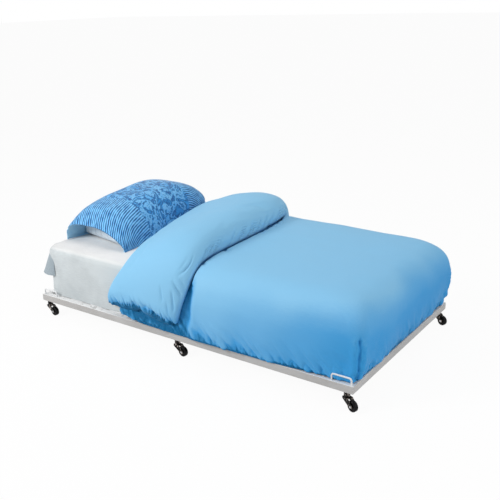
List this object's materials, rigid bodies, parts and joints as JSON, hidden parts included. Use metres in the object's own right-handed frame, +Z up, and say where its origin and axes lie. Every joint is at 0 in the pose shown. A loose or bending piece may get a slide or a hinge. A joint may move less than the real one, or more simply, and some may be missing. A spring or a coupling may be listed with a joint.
{
  "type": "trundle bed",
  "caption": "Low roll-out bed: steel angle frame on swivel casters, slatted deck, mattress with sheet, turned-back duvet and pillow.",
  "frame": {"origin": "on the floor under the middle of the bed", "axes": "+X along the bed towards its foot, +Y to the far side, +Z up"},
  "size_m": [2.0054, 1.1685, 0.6331],
  "materials": {
    "rail_paint": "satin",
    "rod_paint": "gloss",
    "zinc_plate": "satin",
    "fork_plate": "polished",
    "wheel_black": "gloss",
    "mattress_ticking": "matte",
    "sheet_cotton": "matte",
    "duvet_cotton": "matte",
    "pillow_ticking": "matte",
    "pillowcase_cotton": "matte"
  },
  "bodies": {
    "frame": {"near_side_rail": "rail_paint", "far_side_rail": "rail_paint", "head_rail": "rail_paint", "foot_rail": "rail_paint", "deck_slat_01": "rail_paint", "deck_slat_02": "rail_paint", "deck_slat_03": "rail_paint", "deck_slat_04": "rail_paint", "deck_slat_05": "rail_paint", "deck_slat_06": "rail_paint", "deck_slat_07": "rail_paint", "deck_slat_08": "rail_paint", "deck_slat_09": "rail_paint", "deck_slat_10": "rail_paint", "deck_slat_11": "rail_paint", "deck_slat_12": "rail_paint", "slat_rivets": "zinc_plate", "retainer_head_near": "rod_paint", "retainer_head_far": "rod_paint", "retainer_foot_near": "rod_paint", "retainer_foot_far": "rod_paint", "retainer_nuts": "zinc_plate", "caster_socket_head_near": "rail_paint", "caster_stem_head_near": "zinc_plate", "caster_socket_mid_near": "rail_paint", "caster_stem_mid_near": "zinc_plate", "caster_socket_foot_near": "rail_paint", "caster_stem_foot_near": "zinc_plate", "caster_socket_head_far": "rail_paint", "caster_stem_head_far": "zinc_plate", "caster_socket_mid_far": "rail_paint", "caster_stem_mid_far": "zinc_plate", "caster_socket_foot_far": "rail_paint", "caster_stem_foot_far": "zinc_plate", "mattress": "mattress_ticking", "bottom_sheet": "sheet_cotton", "duvet": "duvet_cotton", "pillow": "pillow_ticking", "pillowcase": "pillowcase_cotton"},
    "fork_head_near": {"caster_fork_head_near": "fork_plate", "caster_axle_head_near": "zinc_plate"},
    "wheel_head_near": {"caster_wheel_head_near": "wheel_black"},
    "fork_mid_near": {"caster_fork_mid_near": "fork_plate", "caster_axle_mid_near": "zinc_plate"},
    "wheel_mid_near": {"caster_wheel_mid_near": "wheel_black"},
    "fork_foot_near": {"caster_fork_foot_near": "fork_plate", "caster_axle_foot_near": "zinc_plate"},
    "wheel_foot_near": {"caster_wheel_foot_near": "wheel_black"},
    "fork_head_far": {"caster_fork_head_far": "fork_plate", "caster_axle_head_far": "zinc_plate"},
    "wheel_head_far": {"caster_wheel_head_far": "wheel_black"},
    "fork_mid_far": {"caster_fork_mid_far": "fork_plate", "caster_axle_mid_far": "zinc_plate"},
    "wheel_mid_far": {"caster_wheel_mid_far": "wheel_black"},
    "fork_foot_far": {"caster_fork_foot_far": "fork_plate", "caster_axle_foot_far": "zinc_plate"},
    "wheel_foot_far": {"caster_wheel_foot_far": "wheel_black"}
  },
  "joints": [
    {"name": "swivel_head_near", "type": "hinge", "parent": "frame", "child": "fork_head_near", "pos_m": [-0.929, -0.5025, 0.075], "axis": [0, 0, 1], "continuous": true},
    {"name": "roll_head_near", "type": "hinge", "parent": "fork_head_near", "child": "wheel_head_near", "pos_m": [-0.89314, -0.50564, 0.0254], "axis": [0.0872, 0.9962, 0], "continuous": true},
    {"name": "swivel_mid_near", "type": "hinge", "parent": "frame", "child": "fork_mid_near", "pos_m": [0, -0.5025, 0.075], "axis": [0, 0, 1], "continuous": true},
    {"name": "roll_mid_near", "type": "hinge", "parent": "fork_mid_near", "child": "wheel_mid_near", "pos_m": [0.03586, -0.50564, 0.0254], "axis": [0.0872, 0.9962, 0], "continuous": true},
    {"name": "swivel_foot_near", "type": "hinge", "parent": "frame", "child": "fork_foot_near", "pos_m": [0.929, -0.5025, 0.075], "axis": [0, 0, 1], "continuous": true},
    {"name": "roll_foot_near", "type": "hinge", "parent": "fork_foot_near", "child": "wheel_foot_near", "pos_m": [0.96283, -0.51481, 0.0254], "axis": [0.342, 0.9397, 0], "continuous": true},
    {"name": "swivel_head_far", "type": "hinge", "parent": "frame", "child": "fork_head_far", "pos_m": [-0.929, 0.5025, 0.075], "axis": [0, 0, 1], "continuous": true},
    {"name": "roll_head_far", "type": "hinge", "parent": "fork_head_far", "child": "wheel_head_far", "pos_m": [-0.89314, 0.49936, 0.0254], "axis": [0.0872, 0.9962, 0], "continuous": true},
    {"name": "swivel_mid_far", "type": "hinge", "parent": "frame", "child": "fork_mid_far", "pos_m": [0, 0.5025, 0.075], "axis": [0, 0, 1], "continuous": true},
    {"name": "roll_mid_far", "type": "hinge", "parent": "fork_mid_far", "child": "wheel_mid_far", "pos_m": [0.03586, 0.49936, 0.0254], "axis": [0.0872, 0.9962, 0], "continuous": true},
    {"name": "swivel_foot_far", "type": "hinge", "parent": "frame", "child": "fork_foot_far", "pos_m": [0.929, 0.5025, 0.075], "axis": [0, 0, 1], "continuous": true},
    {"name": "roll_foot_far", "type": "hinge", "parent": "fork_foot_far", "child": "wheel_foot_far", "pos_m": [0.96283, 0.49019, 0.0254], "axis": [0.342, 0.9397, 0], "continuous": true}
  ]
}
